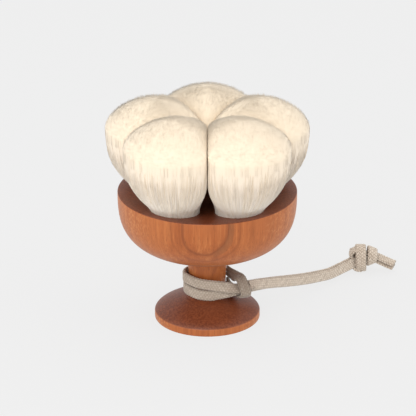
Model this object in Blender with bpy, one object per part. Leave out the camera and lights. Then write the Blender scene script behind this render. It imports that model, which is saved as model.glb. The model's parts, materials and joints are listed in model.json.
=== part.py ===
"""A five-tuft flower brush for the face and body.

A turned wooden goblet (foot, stem and shallow dished bowl, one block) holds five round hair
tufts, each bound with thread and set on a plug of resin in its own blind socket. A flat
braided cord is girth-hitched round the stem, and its doubled end is tied in an overhand knot.

Frame: metres, +Z up along the lathe axis, origin at the centre of the foot's underside,
-Y towards the front.
"""
from math import atan2, cos, exp, pi, radians, sin

import bmesh
import bpy
from mathutils import Matrix, Vector

MM = 0.001
GAP = 0.3 * MM                     # clearance between pieces that touch
LATHE_STEPS = 48                   # facets round the turned block
TUFT_STEPS = 24                    # facets round a tuft, its binding and its plug

# turned handle
FOOT_RADIUS = 19.3 * MM
FOOT_EDGE_HEIGHT = 2.4 * MM        # upright edge of the foot
FOOT_DOME_RISE = 6.6 * MM          # how far the foot's upper face would climb by the axis of the stem
FOOT_DOME_POWER = 0.63
EDGE_ROUND = 0.3 * MM              # eased corners of foot and rim
STEM_RADIUS = 6.75 * MM            # at the waist
STEM_TOP_RADIUS = 8.1 * MM         # where it meets the bowl
STEM_FILLET = 3.0 * MM             # hollow between foot and stem
STEM_FILLET_SWEEP = radians(70)
WAIST_HEIGHT = 14.0 * MM
BOWL_BOTTOM_HEIGHT = 26.55 * MM
BOWL_RADIUS = 32.5 * MM
BOWL_DEPTH = 23.25 * MM            # from rim down to the bowl's underside
BOWL_POWER = 2.0 / 3.1             # fullness of the bowl's side, 1 is an ellipse
DISH_DEPTH = 3.0 * MM              # hollow of the top face

# tufts
TUFT_COUNT = 5
TUFT_FIRST_ANGLE = radians(90)
TUFT_RING_RADIUS = 19.2 * MM       # from the lathe axis to a tuft's own axis
SOCKET_RADIUS = 8.6 * MM
SOCKET_DEPTH = 8.5 * MM            # below the dish at the tuft's axis
PLUG_THICKNESS = 2.4 * MM
BINDING_THICKNESS = 0.6 * MM
BINDING_HEIGHT = 4.4 * MM
TUFT_RADIUS = 18.8 * MM            # free radius, before neighbours press it flat
TUFT_FLARE_START = 1.4 * MM        # above the dish at the tuft's axis
TUFT_WIDEST = 23.5 * MM            # above the dish at the tuft's axis
TUFT_DOME = 11.4 * MM              # from the widest level to the crown
TUFT_FLARE_POWER = 2.5             # how fast the flare slows, 1 is a cone
TUFT_CROWN_POWER = 1.75            # fullness of the crown, 2 is an ellipse
TUFT_OVERLAP = 0.9 * MM            # how far a tuft would pass the plane where its neighbour presses

# braided cord, a flat strap
BRAID_WIDTH = 4.2 * MM
BRAID_THICKNESS = 1.3 * MM
BRAID_PITCH = BRAID_THICKNESS + GAP   # centre to centre of two straps face to face
STRAND_POINTS = 15
TAIL_POINTS = 4
STATIONS_PER_SPAN = 2              # of the hitch's straps

RIM_HEIGHT = BOWL_BOTTOM_HEIGHT + BOWL_DEPTH
FOOT_TOP = FOOT_EDGE_HEIGHT + FOOT_DOME_RISE

# The hitch: angle round the stem, distance beyond the waist's radius, height above the foot's
# dome, and how far the strap's outer face is tipped up. The strap leaves the bight at the first
# station.
WRAP_STATIONS = {
    "hitch_upper_wrap": (
        (-12.4, 10.1, 4.6, 50), (-21.7, 8.1, 4.75, 60), (-36.5, 5.95, 5, 48), (-58.3, 3.75, 6.2, 12),
        (-83, 1.95, 6.65, 0), (-115, 1.75, 7.15, 0), (-154, 1.8, 7.45, 0), (-182, 1.65, 7.15, 0),
        (-210, 1.15, 6.85, 0), (-240, 1.05, 6.75, 0), (-270, 1.05, 6.75, 0), (-298, 1.15, 6.85, 0),
        (-321, 1.6, 6.8, 0),
    ),
    "hitch_lower_wrap": (
        (-10.7, 8.95, 3.6, 50), (-19.1, 7.2, 3.5, 58), (-31, 5.2, 3.6, 50), (-48, 2.9, 3.1, 24),
        (-66, 1.6, 2.55, 6), (-83, 1.4, 2.3, 0), (-115, 1.4, 2.6, 0), (-154, 1.4, 2.85, 0),
        (-182, 1.45, 2.7, 0), (-210, 1.5, 2.45, 3), (-240, 1.5, 2.35, 5), (-270, 1.5, 2.35, 5),
        (-298, 1.5, 2.35, 3), (-319, 1.6, 2.35, 0),
    ),
}

# The bight, which passes over both straps and back under them: angle round the stem, distance
# beyond the waist's radius, height above the foot's dome, and the direction that its outer face
# looks in.
BIGHT_STATIONS = (
    (33, 2, 6.7, (-0.86, -0.5, 0.05)), (11.9, 2.45, 6.6, (-0.82, -0.55, 0.2)),
    (-8.6, 3.97, 7.1, (-0.45, -0.55, 0.7)), (-23.6, 6.5, 8.0, (0.05, -0.45, 0.89)),
    (-31.2, 9.0, 5.7, (0.27, -0.73, 0.6)), (-31.6, 9.85, 3.2, (0.35, -0.93, -0.1)),
    (-25.9, 7.9, 1.35, (0.15, -0.45, -0.88)), (-16.1, 5.53, 0.95, (-0.05, -0.15, -0.99)),
    (2.3, 3.4, 1.55, (-0.25, -0.15, -0.95)), (18.6, 2.75, 1.95, (-0.55, -0.32, -0.77)),
    (35, 2.1, 2.4, (-0.82, -0.57, 0)),
)

# The two strands side by side, from the hitch's exit to the knot: distance along the run in
# millimetres, height as a share of the exit's height above the knot's throat, and the tip of
# their faces in degrees.
STRAND_HEADING = Vector((0.6915, 0.7224, 0.0)).normalized()
EXIT_ANGLE = radians(-11.3)
EXIT_REACH = 9.57 * MM             # beyond the waist's radius
EXIT_HEIGHT = 4.1 * MM             # above the foot's dome
THROAT_HEIGHT = 4.3 * MM
STRAND_STATIONS = (
    (0.0, 1.0, 44), (3.5, 0.93, 36), (8.0, 0.82, 24), (13.0, 0.69, 14), (18.5, 0.53, 6),
    (25.0, 0.35, 2), (31.5, 0.19, 0), (38.0, 0.06, 0), (43.5, -0.03, 0), (49.5, -0.02, 4),
    (55.0, 0.0, 8),
)
KNOT_FROM_EXIT = Vector((43.2, 43.1, 0.0)) * MM
KNOT_SIZE = Vector((5.7, 4.9, 5.3)) * MM   # half extents: along the strands, across, upright
KNOT_GROOVE = 0.12                 # between the knot's two turns, as a share of its radius
KNOT_GROOVE_PLACE = 0.22
KNOT_GROOVE_SPREAD = 0.12
TAIL_START = Vector((5.0, 1.2, -0.2)) * MM      # from the knot's centre
TAIL_STATIONS = ((0.0, 0.0, 0.0), (3.3, -1.1, -1.2), (6.8, -2.4, -2.3))
TAIL_TIP = 83                      # degrees that the tails' faces look up


def clear_scene():
    for thing in list(bpy.data.objects):
        bpy.data.objects.remove(thing, do_unlink=True)


def material(name, colour, roughness, metallic=0.0):
    made = bpy.data.materials.new(name)
    made.use_nodes = True
    shader = made.node_tree.nodes["Principled BSDF"]
    shader.inputs["Base Color"].default_value = (*colour, 1.0)
    shader.inputs["Roughness"].default_value = roughness
    shader.inputs["Metallic"].default_value = metallic
    return made


def add_object(name, data, finish, location=(0.0, 0.0, 0.0), parent=None):
    thing = bpy.data.objects.new(name, data)
    thing.location = location
    thing.parent = parent
    data.materials.append(finish)
    bpy.context.scene.collection.objects.link(thing)
    return thing


def add_empty(name, location, parent=None):
    empty = bpy.data.objects.new(name, None)
    empty.location = location
    empty.parent = parent
    bpy.context.scene.collection.objects.link(empty)
    return empty


def mesh_from(bm, name):
    bmesh.ops.remove_doubles(bm, verts=bm.verts, dist=0.00001)
    bmesh.ops.recalc_face_normals(bm, faces=bm.faces)
    mesh = bpy.data.meshes.new(name)
    bm.to_mesh(mesh)
    bm.free()
    mesh.shade_smooth()
    mesh.set_sharp_from_angle(angle=radians(35))
    return mesh


def turned(name, outline, steps):
    """A solid of revolution about Z from an outline of (radius, height) points."""
    bm = bmesh.new()
    rim = [bm.verts.new((radius, 0.0, height)) for radius, height in outline]
    edges = [bm.edges.new(pair) for pair in zip(rim, rim[1:])]
    bmesh.ops.spin(bm, geom=rim + edges, axis=(0, 0, 1), cent=(0, 0, 0),
                   angle=2 * pi, steps=steps, use_merge=True)
    return mesh_from(bm, name)


def dish_height(radius):
    return RIM_HEIGHT - DISH_DEPTH * (1.0 - (radius / BOWL_RADIUS) ** 2)


def foot_height(radius):
    share = (FOOT_RADIUS - radius) / (FOOT_RADIUS - STEM_RADIUS)
    return FOOT_EDGE_HEIGHT + FOOT_DOME_RISE * share ** FOOT_DOME_POWER


def stem_radius(height):
    share = (height - WAIST_HEIGHT) / (BOWL_BOTTOM_HEIGHT - WAIST_HEIGHT)
    return STEM_RADIUS + (STEM_TOP_RADIUS - STEM_RADIUS) * share ** 2


def handle_outline():
    foot = [(0.0, 0.0), (FOOT_RADIUS - EDGE_ROUND, 0.0), (FOOT_RADIUS, EDGE_ROUND)]
    fillet_end = STEM_RADIUS + STEM_FILLET * (1.0 - cos(STEM_FILLET_SWEEP))
    dome_run = FOOT_RADIUS - fillet_end
    dome = [FOOT_RADIUS - dome_run * (k / 6) ** 1.8 for k in range(7)]
    foot += [(radius, foot_height(radius)) for radius in dome]

    fillet_centre = foot_height(fillet_end) + STEM_FILLET * sin(STEM_FILLET_SWEEP)
    stem = []
    for k in range(1, 5):
        turn = STEM_FILLET_SWEEP * (1.0 - k / 4)
        stem.append((STEM_RADIUS + STEM_FILLET * (1.0 - cos(turn)),
                     fillet_centre - STEM_FILLET * sin(turn)))
    for k in range(1, 6):
        height = WAIST_HEIGHT + (BOWL_BOTTOM_HEIGHT - WAIST_HEIGHT) * k / 5
        stem.append((stem_radius(height), height))

    start = atan2(1.0, (STEM_TOP_RADIUS / BOWL_RADIUS) ** (1.0 / BOWL_POWER))
    bowl = []
    for k in range(1, 14):
        turn = start * (1.0 - k / 13)
        bowl.append((BOWL_RADIUS * cos(turn) ** BOWL_POWER,
                     RIM_HEIGHT - BOWL_DEPTH * sin(turn) ** BOWL_POWER))
    bowl[-1] = (BOWL_RADIUS, RIM_HEIGHT - EDGE_ROUND)
    dish_edge = BOWL_RADIUS - EDGE_ROUND
    dish = [(dish_edge * (1.0 - k / 5), dish_height(dish_edge * (1.0 - k / 5))) for k in range(6)]
    return foot + stem + bowl + dish


def tuft_places():
    for k in range(TUFT_COUNT):
        angle = TUFT_FIRST_ANGLE + 2 * pi * k / TUFT_COUNT
        yield k + 1, angle, Vector((cos(angle), sin(angle), 0.0)) * TUFT_RING_RADIUS


def build_handle(finish):
    handle = add_object("handle", turned("handle", handle_outline(), LATHE_STEPS), finish)
    floor = dish_height(TUFT_RING_RADIUS) - SOCKET_DEPTH
    above = RIM_HEIGHT + SOCKET_DEPTH
    drill = turned("socket_cutter", [(0.0, above), (SOCKET_RADIUS, above),
                                     (SOCKET_RADIUS, floor), (0.0, floor)], TUFT_STEPS)
    for number, angle, centre in tuft_places():
        cutter = add_object("socket_cutter_%d" % number, drill, finish, centre)
        cutter.hide_render = True
        cutter.display_type = 'WIRE'
        cut = handle.modifiers.new("socket_%d" % number, 'BOOLEAN')
        cut.object = cutter
        cut.operation = 'DIFFERENCE'
        cut.solver = 'EXACT'
    return handle


def tuft_outline():
    """A tuft about its own axis, heights from the dish: root, flare, widest level and crown."""
    root_radius = SOCKET_RADIUS - GAP - BINDING_THICKNESS - GAP
    mouth_radius = SOCKET_RADIUS - GAP
    root_end = GAP + PLUG_THICKNESS + GAP - SOCKET_DEPTH
    binding_top = root_end + GAP + BINDING_HEIGHT + GAP
    outline = [(0.0, root_end), (root_radius, root_end), (root_radius, binding_top)]
    outline += [(mouth_radius, binding_top + mouth_radius - root_radius)]
    for k in range(8):
        share = (k / 7) ** 1.3
        spread = 1.0 - (1.0 - share) ** TUFT_FLARE_POWER
        outline.append((mouth_radius + (TUFT_RADIUS - mouth_radius) * spread,
                        TUFT_FLARE_START + (TUFT_WIDEST - TUFT_FLARE_START) * share))
    for k in range(1, 7):
        turn = pi / 2 * k / 6
        outline.append((TUFT_RADIUS * cos(turn) ** (2.0 / TUFT_CROWN_POWER),
                        TUFT_WIDEST + TUFT_DOME * sin(turn) ** (2.0 / TUFT_CROWN_POWER)))
    return outline


def hold_in(mesh, angle):
    """Let a tuft's flare spread less towards its two neighbours, which hold it in."""
    mouth = SOCKET_RADIUS - GAP
    wall = TUFT_RING_RADIUS * sin(pi / TUFT_COUNT) + TUFT_OVERLAP
    for corner in mesh.vertices:
        radius = corner.co.xy.length
        if radius <= mouth or corner.co.z > TUFT_WIDEST + GAP:
            continue
        turn = atan2(corner.co.y, corner.co.x) - angle
        toward = max(cos(turn - side * (pi / 2 + pi / TUFT_COUNT)) for side in (-1, 1))
        reach = min(TUFT_RADIUS, wall / max(toward, 0.01))
        held = mouth + (radius - mouth) * (reach - mouth) / (TUFT_RADIUS - mouth)
        corner.co.x *= held / radius
        corner.co.y *= held / radius


def press_flat(mesh, angle):
    """Cut a tuft by the planes on which its two neighbours press, and close the cuts."""
    bm = bmesh.new()
    bm.from_mesh(mesh)
    for side in (-1, 1):
        normal_angle = angle + side * (pi / 2 + pi / TUFT_COUNT)
        normal = Vector((cos(normal_angle), sin(normal_angle), 0.0))
        inset = TUFT_RING_RADIUS * sin(pi / TUFT_COUNT) - GAP / 2
        bmesh.ops.bisect_plane(bm, geom=bm.verts[:] + bm.edges[:] + bm.faces[:], dist=0.000001,
                               plane_co=normal * inset, plane_no=normal, clear_outer=True)
        rim = [edge for edge in bm.edges if edge.is_boundary]
        bmesh.ops.holes_fill(bm, edges=rim, sides=0)
    bmesh.ops.recalc_face_normals(bm, faces=bm.faces)
    bm.to_mesh(mesh)
    bm.free()
    mesh.shade_smooth()
    mesh.set_sharp_from_angle(angle=radians(35))


def build_tufts(hair, thread, resin):
    base = dish_height(TUFT_RING_RADIUS)
    floor = GAP - SOCKET_DEPTH
    plug_top = floor + PLUG_THICKNESS
    outer = SOCKET_RADIUS - GAP
    inner = outer - BINDING_THICKNESS
    plug = [(0.0, floor), (outer, floor), (outer, plug_top), (0.0, plug_top)]
    low = plug_top + 2 * GAP
    high = low + BINDING_HEIGHT
    band = [(inner, low), (outer, low), (outer, high), (inner, high), (inner, low)]
    for number, angle, centre in tuft_places():
        place = centre + Vector((0.0, 0.0, base))
        head = turned("hair_tuft_%d" % number, tuft_outline(), TUFT_STEPS)
        hold_in(head, angle)
        press_flat(head, angle)
        add_object("hair_tuft_%d" % number, head, hair, place)
        ring = turned("tuft_binding_%d" % number, band, TUFT_STEPS)
        add_object("tuft_binding_%d" % number, ring, thread, place)
        disc = turned("tuft_plug_%d" % number, plug, TUFT_STEPS)
        add_object("tuft_plug_%d" % number, disc, resin, place)


def smooth_row(rows, share):
    """A Catmull-Rom curve through rows of numbers, at a share of its spans."""
    place = share * (len(rows) - 1)
    k = min(int(place), len(rows) - 2)
    t = place - k
    before = rows[max(k - 1, 0)]
    after = rows[min(k + 2, len(rows) - 1)]
    return [0.5 * (2 * p1 + (p2 - p0) * t + (2 * p0 - 5 * p1 + 4 * p2 - p3) * t ** 2
                   + (3 * p1 - p0 - 3 * p2 + p3) * t ** 3)
            for p0, p1, p2, p3 in zip(before, rows[k], rows[k + 1], after)]


def strap_section():
    """The braid's section, flat with round edges: points of (across, through)."""
    radius = BRAID_THICKNESS / 2
    flat = BRAID_WIDTH / 2 - radius
    turns = [pi * (k / 4 - 0.5) for k in range(5)]
    right = [(flat + radius * cos(turn), radius * sin(turn)) for turn in turns]
    return right + [(-across, -through) for across, through in right]


def swept_strap(name, centres, faces):
    """A straight strap, one unit long per station, bent so that its face looks as faces do."""
    bm = bmesh.new()
    corners = [bm.verts.new((across, through, 0.0)) for across, through in strap_section()]
    ring = [bm.edges.new(pair) for pair in zip(corners, corners[1:] + corners[:1])]
    for _ in centres[1:]:
        pushed = bmesh.ops.extrude_edge_only(bm, edges=ring)["geom"]
        ring = [item for item in pushed if isinstance(item, bmesh.types.BMEdge)]
        moved = [item for item in pushed if isinstance(item, bmesh.types.BMVert)]
        bmesh.ops.translate(bm, vec=(0.0, 0.0, 1.0), verts=moved)
    bmesh.ops.holes_fill(bm, edges=[edge for edge in bm.edges if edge.is_boundary], sides=0)
    frames = []
    for k, centre in enumerate(centres):
        along = centres[min(k + 1, len(centres) - 1)] - centres[max(k - 1, 0)]
        along.normalize()
        face = (faces[k] - along * faces[k].dot(along)).normalized()
        frames.append((centre, along.cross(face), face))
    for corner in bm.verts:
        centre, across, face = frames[round(corner.co.z)]
        corner.co = centre + across * corner.co.x + face * corner.co.y
    return mesh_from(bm, name)


def round_stem(angle, reach, height):
    radius = STEM_RADIUS + reach
    return Vector((cos(angle) * radius, sin(angle) * radius, FOOT_TOP + height))


def tipped_face(outward, tip_degrees):
    tip = radians(tip_degrees)
    return outward.normalized() * cos(tip) + Vector((0, 0, sin(tip)))


def build_hitch(cord, body):
    """The two straps round the stem and the bight that grips them."""
    for name, stations in WRAP_STATIONS.items():
        points = hitch_points(stations)
        faces = [tipped_face(Vector((point.x, point.y, 0.0)), row[3])
                 for point, row in zip(points, stations)]
        add_hitch_strap(name, points, faces, cord, body)
    add_hitch_strap("hitch_bight", hitch_points(BIGHT_STATIONS),
                    [Vector(row[3]) for row in BIGHT_STATIONS], cord, body)


def hitch_points(stations):
    return [round_stem(radians(row[0]), row[1] * MM, row[2] * MM) for row in stations]


def add_hitch_strap(name, points, faces, cord, body):
    count = (len(points) - 1) * STATIONS_PER_SPAN
    rows = [[*point, *face] for point, face in zip(points, faces)]
    run = [smooth_row(rows, k / count) for k in range(count + 1)]
    mesh = swept_strap(name, [Vector(row[:3]) for row in run], [Vector(row[3:]) for row in run])
    mesh.transform(Matrix.Translation(-body.location))
    return add_object(name, mesh, cord, parent=body)


def exit_point():
    return round_stem(EXIT_ANGLE, EXIT_REACH, EXIT_HEIGHT)


def flat_cord(name, points, tips, finish, body):
    """A flat braid along points: tips say how far its face is tipped up, in degrees."""
    curve = bpy.data.curves.new(name, 'CURVE')
    curve.dimensions = '3D'
    curve.twist_mode = 'Z_UP'
    curve.extrude = BRAID_WIDTH / 2 - BRAID_THICKNESS / 2
    curve.bevel_depth = BRAID_THICKNESS / 2
    curve.bevel_resolution = 2
    curve.use_fill_caps = True
    spline = curve.splines.new('POLY')
    spline.points.add(len(points) - 1)
    for knob, point, tip in zip(spline.points, points, tips):
        knob.co = (*(point - body.matrix_world.translation), 1.0)
        knob.tilt = -radians(tip)
    return add_object(name, curve, finish, parent=body)


def cord_pair(names, rows, count, finish, body):
    """Two straps face to face about one middle line of (x, y, z, tip) rows."""
    run = [smooth_row(rows, k / (count - 1)) for k in range(count)]
    middle = [Vector(row[:3]) for row in run]
    tips = [row[3] for row in run]
    for name, side in zip(names, (1, -1)):
        points = []
        for k, centre in enumerate(middle):
            along = (middle[min(k + 1, count - 1)] - middle[max(k - 1, 0)]).normalized()
            face = tipped_face(along.cross(Vector((0, 0, 1))), tips[k])
            face -= along * face.dot(along)
            points.append(centre + face.normalized() * side * BRAID_PITCH / 2)
        flat_cord(name, points, tips, finish, body)


def build_strands(finish, body):
    rows = []
    for run, share, tip in STRAND_STATIONS:
        place = exit_point() + STRAND_HEADING * (GAP + run * MM)
        height = THROAT_HEIGHT + (FOOT_TOP + EXIT_HEIGHT - THROAT_HEIGHT) * share
        rows.append([place.x, place.y, height, tip])
    cord_pair(("cord_strand_a", "cord_strand_b"), rows, STRAND_POINTS, finish, body)


def knot_centre():
    place = exit_point() + KNOT_FROM_EXIT
    return Vector((place.x, place.y, KNOT_SIZE.z))


def tail_points():
    start = knot_centre() + TAIL_START
    return [start + Vector(step) * MM for step in TAIL_STATIONS]


def build_tails(finish, body):
    rows = [[*point, TAIL_TIP] for point in tail_points()]
    cord_pair(("cord_tail_a", "cord_tail_b"), rows, TAIL_POINTS, finish, body)


def build_knot(finish, body):
    """The tight overhand knot as a two-lobed solid, flat where strands enter and tails leave."""
    bm = bmesh.new()
    bmesh.ops.create_uvsphere(bm, u_segments=20, v_segments=14, radius=1.0)
    for corner in bm.verts:
        groove = 1.0 - KNOT_GROOVE * exp(-((corner.co.z - KNOT_GROOVE_PLACE) / KNOT_GROOVE_SPREAD) ** 2)
        side, up, along = corner.co.x * groove, corner.co.y * groove, corner.co.z
        corner.co = Vector((along * KNOT_SIZE.x, side * KNOT_SIZE.y, up * KNOT_SIZE.z))
    turn = atan2(STRAND_HEADING.y, STRAND_HEADING.x)
    bm.transform(Matrix.Translation(knot_centre()) @ Matrix.Rotation(turn, 4, 'Z'))
    throat = exit_point() + STRAND_HEADING * (GAP + STRAND_STATIONS[-1][0] * MM + GAP)
    tails = tail_points()
    tail_heading = (tails[1] - tails[0]).normalized()
    for point, outward in ((throat, -STRAND_HEADING), (tails[0] - tail_heading * GAP, tail_heading)):
        bmesh.ops.bisect_plane(bm, geom=bm.verts[:] + bm.edges[:] + bm.faces[:], dist=0.000001,
                               plane_co=point, plane_no=outward, clear_outer=True)
        bmesh.ops.holes_fill(bm, edges=[edge for edge in bm.edges if edge.is_boundary], sides=0)
    bm.transform(Matrix.Translation(-body.matrix_world.translation))
    add_object("cord_knot", mesh_from(bm, "cord_knot"), finish, parent=body)


def main():
    clear_scene()
    wood = material("oiled_cherry", (0.55, 0.22, 0.09), 0.42)
    hair = material("cream_hair", (0.88, 0.80, 0.66), 0.75)
    thread = material("binding_thread", (0.80, 0.76, 0.68), 0.80)
    resin = material("setting_resin", (0.72, 0.62, 0.40), 0.35)
    cord = material("braided_cord", (0.56, 0.48, 0.40), 0.85)

    build_handle(wood)
    build_tufts(hair, thread, resin)
    swivel = add_empty("cord_swivel", (0.0, 0.0, 0.0))
    lift = add_empty("cord_lift", exit_point(), parent=swivel)
    bpy.context.view_layer.update()
    build_hitch(cord, swivel)
    build_strands(cord, lift)
    build_knot(cord, lift)
    build_tails(cord, lift)


main()
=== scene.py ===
"""Looks of a five-tuft flower brush: turned cherry handle, dense cream hair, braided cord.

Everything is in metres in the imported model's frame: +Z up the lathe axis, -Y to the front.
"""
import json
from math import atan2, cos, exp, pi, radians, sin

import bmesh
import bpy
import numpy as np
from mathutils import Matrix, Vector

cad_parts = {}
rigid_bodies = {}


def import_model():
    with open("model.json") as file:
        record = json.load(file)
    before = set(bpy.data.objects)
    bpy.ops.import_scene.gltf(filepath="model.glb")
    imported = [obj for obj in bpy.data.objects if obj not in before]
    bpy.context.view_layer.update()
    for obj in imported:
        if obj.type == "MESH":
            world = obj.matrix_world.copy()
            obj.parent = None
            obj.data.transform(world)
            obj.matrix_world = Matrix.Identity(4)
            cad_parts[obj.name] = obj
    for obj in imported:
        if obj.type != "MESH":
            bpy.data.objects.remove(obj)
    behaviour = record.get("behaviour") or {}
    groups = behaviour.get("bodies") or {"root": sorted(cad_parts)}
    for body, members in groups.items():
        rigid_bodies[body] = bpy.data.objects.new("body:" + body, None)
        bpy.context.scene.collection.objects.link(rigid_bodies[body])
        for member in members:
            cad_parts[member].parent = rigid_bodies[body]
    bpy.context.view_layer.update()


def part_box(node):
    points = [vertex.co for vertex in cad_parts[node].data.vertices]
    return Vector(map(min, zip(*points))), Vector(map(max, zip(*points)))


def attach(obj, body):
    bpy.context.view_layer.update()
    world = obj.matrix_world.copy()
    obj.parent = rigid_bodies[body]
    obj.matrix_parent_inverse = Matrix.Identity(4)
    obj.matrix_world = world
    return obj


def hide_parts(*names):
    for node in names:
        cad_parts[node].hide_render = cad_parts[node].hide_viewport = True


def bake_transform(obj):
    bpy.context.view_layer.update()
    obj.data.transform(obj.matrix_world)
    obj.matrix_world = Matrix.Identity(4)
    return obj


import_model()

MM = 0.001

# sizes read from the frame
HANDLE_LOW, HANDLE_HIGH = (Vector(corner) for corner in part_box("handle"))
BOWL_RADIUS = HANDLE_HIGH.x
TUFT_COUNT = 5
PLUGS = [[Vector(corner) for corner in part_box("tuft_plug_%d" % (k + 1))] for k in range(TUFT_COUNT)]
TUFT_AXES = [(low + high) / 2 for low, high in PLUGS]
TUFT_RING_RADIUS = TUFT_AXES[0].xy.length
SOCKET_FLOOR = PLUGS[0][0].z - 0.3 * MM

# the turned block, as the frame's handle
FOOT_RADIUS = 19.3 * MM
FOOT_EDGE_HEIGHT = 2.4 * MM
FOOT_DOME_RISE = 6.6 * MM
FOOT_DOME_POWER = 0.63
EDGE_ROUND = 0.3 * MM
STEM_RADIUS = 6.75 * MM
STEM_TOP_RADIUS = 8.1 * MM
STEM_FILLET = 3.0 * MM
STEM_FILLET_SWEEP = radians(70)
WAIST_HEIGHT = 14.0 * MM
BOWL_BOTTOM_HEIGHT = 26.55 * MM
BOWL_DEPTH = 23.25 * MM
BOWL_POWER = 2.0 / 3.1
DISH_DEPTH = 3.0 * MM
RIM_HEIGHT = BOWL_BOTTOM_HEIGHT + BOWL_DEPTH
SOCKET_RADIUS = 8.6 * MM
LATHE_STEPS = 180

# tufts
TUFT_RADIUS = 18.8 * MM
TUFT_MOUTH_RADIUS = 8.3 * MM
TUFT_FLARE_START = 1.4 * MM
TUFT_WIDEST = 23.5 * MM
TUFT_DOME = 11.4 * MM
SIDE_HAIRS = 3200
SIDE_HAIR_STEPS = 8
TUFT_FLARE_POWER = 2.5
TUFT_CROWN_POWER = 1.75
TUFT_OVERLAP = 0.9 * MM
CROWN_HAIRS = 8000

CAMERA_ELEVATION = radians(22.64)
CAMERA_DISTANCE = 1.0
CAMERA_TARGET = Vector((0.25, 0.0, 42.57)) * MM
CAMERA_LENS = 238.6


# ---------------------------------------------------------------- camera, light and floor

def build_camera():
    data = bpy.data.cameras.new("camera")
    data.lens = CAMERA_LENS
    data.sensor_width = 36.0
    data.clip_end = 10.0
    camera = bpy.data.objects.new("camera", data)
    ahead = Vector((0.0, cos(CAMERA_ELEVATION), -sin(CAMERA_ELEVATION)))
    camera.location = CAMERA_TARGET - ahead * CAMERA_DISTANCE
    camera.rotation_euler = (pi / 2 - CAMERA_ELEVATION, 0.0, 0.0)
    bpy.context.scene.collection.objects.link(camera)
    bpy.context.scene.camera = camera


def build_light(name, place, aim, size, power):
    data = bpy.data.lights.new(name, 'AREA')
    data.shape = 'DISK'
    data.size = size
    data.energy = power
    lamp = bpy.data.objects.new(name, data)
    lamp.location = place
    lamp.rotation_euler = (Vector(aim) - Vector(place)).to_track_quat('-Z', 'Y').to_euler()
    bpy.context.scene.collection.objects.link(lamp)


def build_studio():
    scene = bpy.context.scene
    scene.view_settings.view_transform = 'Standard'
    world = bpy.data.worlds.new("studio")
    world.use_nodes = True
    world.node_tree.nodes["Background"].inputs["Color"].default_value = (1.0, 1.0, 1.0, 1.0)
    world.node_tree.nodes["Background"].inputs["Strength"].default_value = 0.92
    scene.world = world
    build_light("front_softbox", (-0.35, -1.15, 0.75), (0.0, 0.0, 0.03), 1.2, 8.0)
    build_light("top_softbox", (0.1, 0.1, 1.1), (0.0, 0.0, 0.04), 0.9, 1.2)
    build_light("left_softbox", (-1.0, -0.35, 0.45), (0.0, 0.0, 0.03), 0.5, 1.6)
    build_light("right_softbox", (1.0, -0.25, 0.45), (0.0, 0.0, 0.03), 0.5, 1.6)

    bm = bmesh.new()
    bmesh.ops.create_grid(bm, x_segments=1, y_segments=1, size=6.0)
    mesh = bpy.data.meshes.new("floor")
    bm.to_mesh(mesh)
    bm.free()
    floor = bpy.data.objects.new("floor", mesh)
    floor.location.z = -0.02 * MM
    bpy.context.scene.collection.objects.link(floor)
    pale = new_material("pale_floor")
    nodes, links = pale.node_tree.nodes, pale.node_tree.links
    shader = nodes["Principled BSDF"]
    shader.inputs["Base Color"].default_value = (0.08, 0.08, 0.08, 1.0)
    shader.inputs["Roughness"].default_value = 1.0
    shader.inputs["Specular IOR Level"].default_value = 0.0
    shader.inputs["Emission Color"].default_value = (1.0, 1.0, 1.0, 1.0)
    shader.inputs["Emission Strength"].default_value = 0.765
    mesh.materials.append(pale)


# ---------------------------------------------------------------- small helpers

def new_material(name):
    made = bpy.data.materials.new(name)
    made.use_nodes = True
    return made


def add_piece(name, mesh, body, material, replaces=()):
    piece = bpy.data.objects.new(name, mesh)
    bpy.context.scene.collection.objects.link(piece)
    mesh.materials.clear()
    mesh.materials.append(material)
    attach(piece, body)
    if replaces:
        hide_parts(*replaces)
    return piece


def mesh_of(bm, name, sharp=35.0):
    bmesh.ops.remove_doubles(bm, verts=bm.verts, dist=0.001 * MM)
    bmesh.ops.recalc_face_normals(bm, faces=bm.faces)
    mesh = bpy.data.meshes.new(name)
    bm.to_mesh(mesh)
    bm.free()
    mesh.shade_smooth()
    mesh.set_sharp_from_angle(angle=radians(sharp))
    return mesh


def turned(name, outline, steps):
    bm = bmesh.new()
    rim = [bm.verts.new((radius, 0.0, height)) for radius, height in outline]
    edges = [bm.edges.new(pair) for pair in zip(rim, rim[1:])]
    bmesh.ops.spin(bm, geom=rim + edges, axis=(0, 0, 1), cent=(0, 0, 0),
                   angle=2 * pi, steps=steps, use_merge=True)
    return mesh_of(bm, name)


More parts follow.
